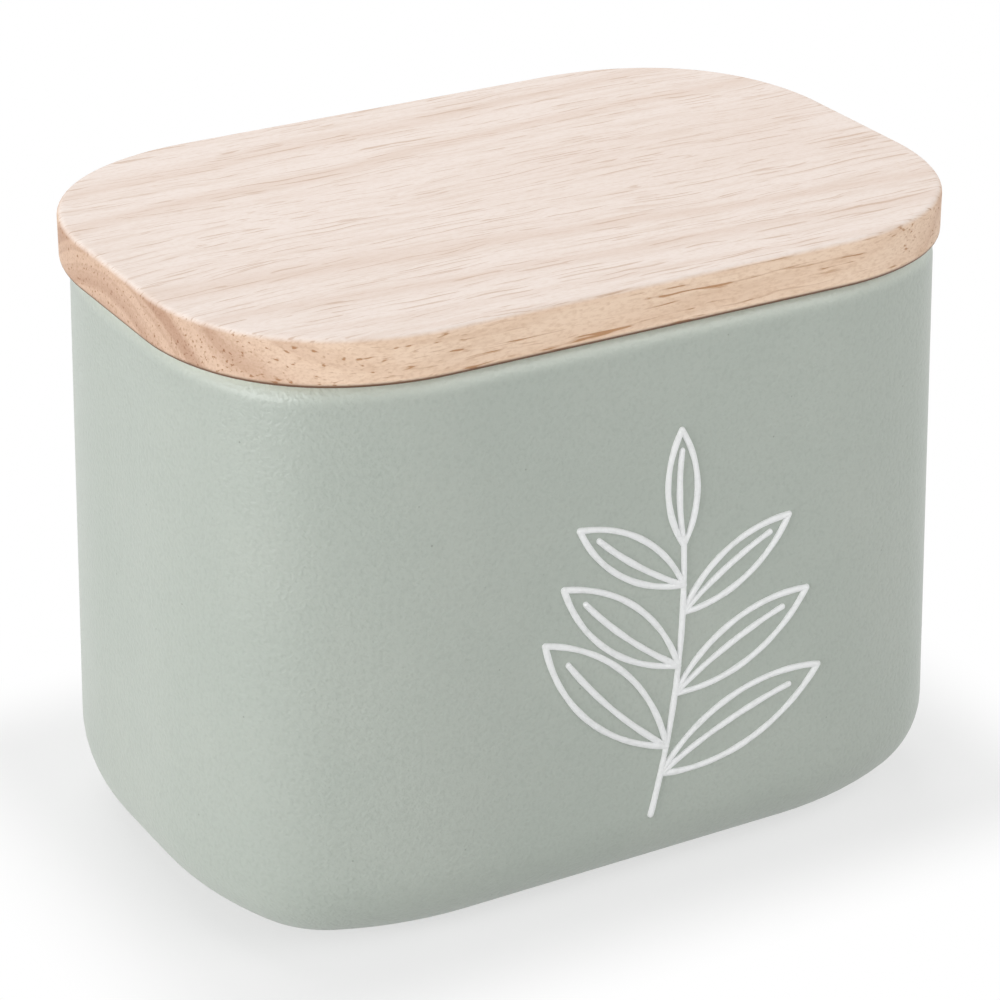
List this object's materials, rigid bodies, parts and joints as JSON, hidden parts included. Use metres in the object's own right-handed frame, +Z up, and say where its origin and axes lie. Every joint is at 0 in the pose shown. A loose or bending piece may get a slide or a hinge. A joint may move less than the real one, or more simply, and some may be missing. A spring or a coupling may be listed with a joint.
{
  "type": "cotton pad holder",
  "caption": "Round-cornered ceramic box with a lift-off wooden lid and a raised line sprig on the front, for keeping cotton pads and swabs on a vanity.",
  "frame": {"origin": "on the table, under the middle of the box's foot", "axes": "+Z up, +X along the long side, the decorated front faces -Y"},
  "size_m": [0.1312, 0.0891, 0.1002],
  "materials": {
    "sage_glaze": "satin sage glaze on stoneware",
    "white_enamel": "raised white enamel line",
    "pale_wood": "sanded, bare pale hardwood",
    "clear_silicone": "moulded translucent silicone"
  },
  "bodies": {
    "box": {"ceramic_box": "sage_glaze", "raised_sprig": "white_enamel"},
    "lid": {"wooden_lid": "pale_wood", "lid_seal": "clear_silicone"}
  },
  "joints": [
    {"name": "lid_lift", "type": "slide", "parent": "box", "child": "lid", "axis": [0, 0, 1], "range_m": [0, 0.12]}
  ]
}
